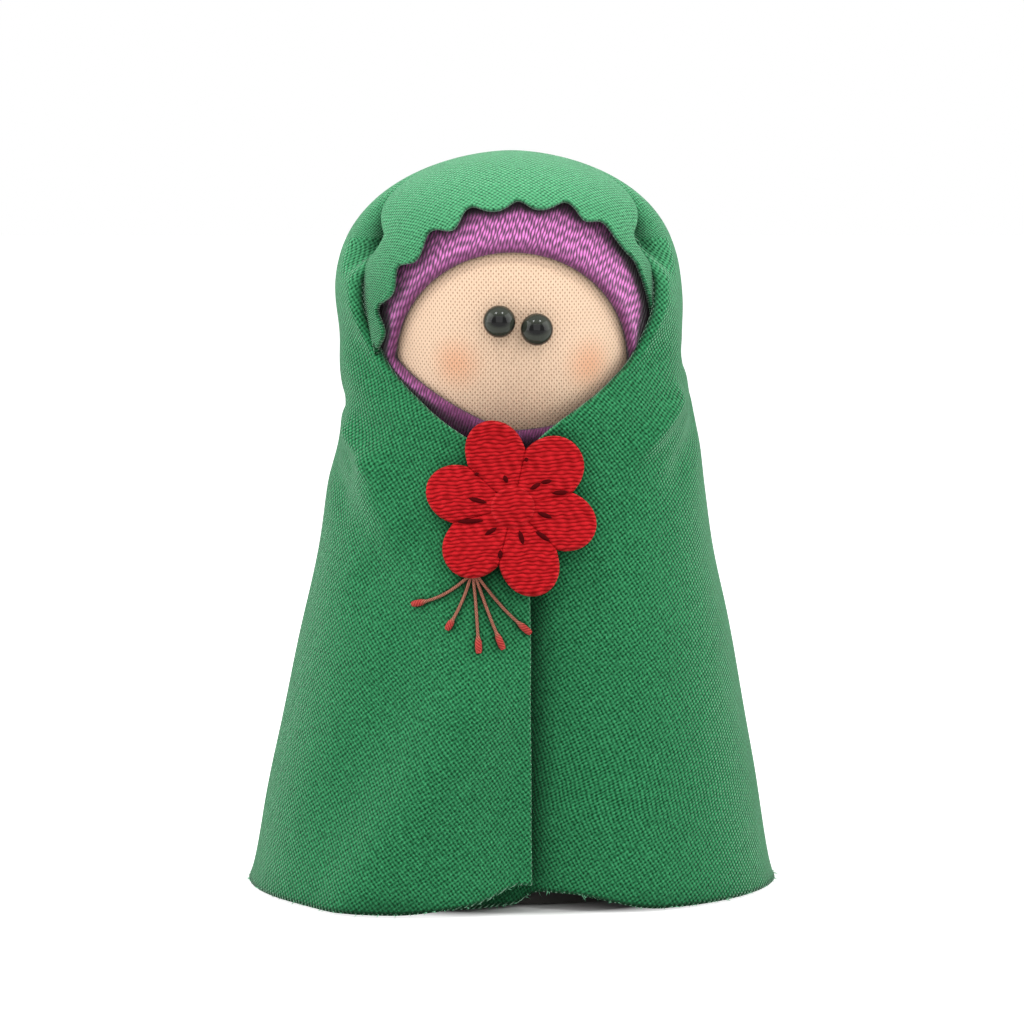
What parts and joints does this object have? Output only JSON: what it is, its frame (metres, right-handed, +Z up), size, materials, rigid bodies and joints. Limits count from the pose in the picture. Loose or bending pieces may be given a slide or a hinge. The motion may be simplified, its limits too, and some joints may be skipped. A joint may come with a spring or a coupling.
{
  "type": "rag doll",
  "caption": "Small standing rag doll with a stuffed head in a close scarf, a cloth veil over head and body, and a thread flower at the chest.",
  "frame": {"origin": "middle of the base disc's underside, on the floor", "axes": "+Z up along the doll, -Y the way the face looks, +X to the viewer's right"},
  "size_m": [0.0668, 0.0473, 0.0935],
  "materials": {
    "green_cloth": "fine ribbed weave, raw cut edges",
    "purple_cloth": "fine ribbed crepe",
    "dress_cloth": "plain weave",
    "jersey": "fine knitted jersey",
    "wadding": "loose fibre",
    "binding_thread": "twisted thread",
    "red_thread": "satin thread laid side by side",
    "black_bead": "polished",
    "card": "plain grey-brown card"
  },
  "bodies": {
    "torso": {"base_disc": "card", "torso_cover": "dress_cloth", "torso_filling": "wadding", "veil": "green_cloth", "flower_backing": "red_thread", "flower_centre": "red_thread", "flower_petal_1": "red_thread", "flower_petal_2": "red_thread", "flower_petal_3": "red_thread", "flower_petal_4": "red_thread", "flower_petal_5": "red_thread", "flower_petal_6": "red_thread", "thread_tail_1": "red_thread", "thread_tail_2": "red_thread", "thread_tail_3": "red_thread", "thread_tail_4": "red_thread", "thread_tail_5": "red_thread"},
    "neck": {"neck_gather": "jersey", "neck_binding": "binding_thread"},
    "head": {"head_skin": "jersey", "head_filling": "wadding", "left_eye": "black_bead", "right_eye": "black_bead", "under_scarf": "purple_cloth"}
  },
  "joints": [
    {"name": "neck_turn", "type": "hinge", "parent": "torso", "child": "neck", "pos_m": [0, 0, 0.07225], "axis": [0, 0, 1], "range_deg": [-15, 15], "stiffness_Nm_per_rad": 0.01},
    {"name": "head_nod", "type": "hinge", "parent": "neck", "child": "head", "pos_m": [0, 0, 0.07225], "axis": [1, 0, 0], "range_deg": [-8, 8], "stiffness_Nm_per_rad": 0.01}
  ]
}
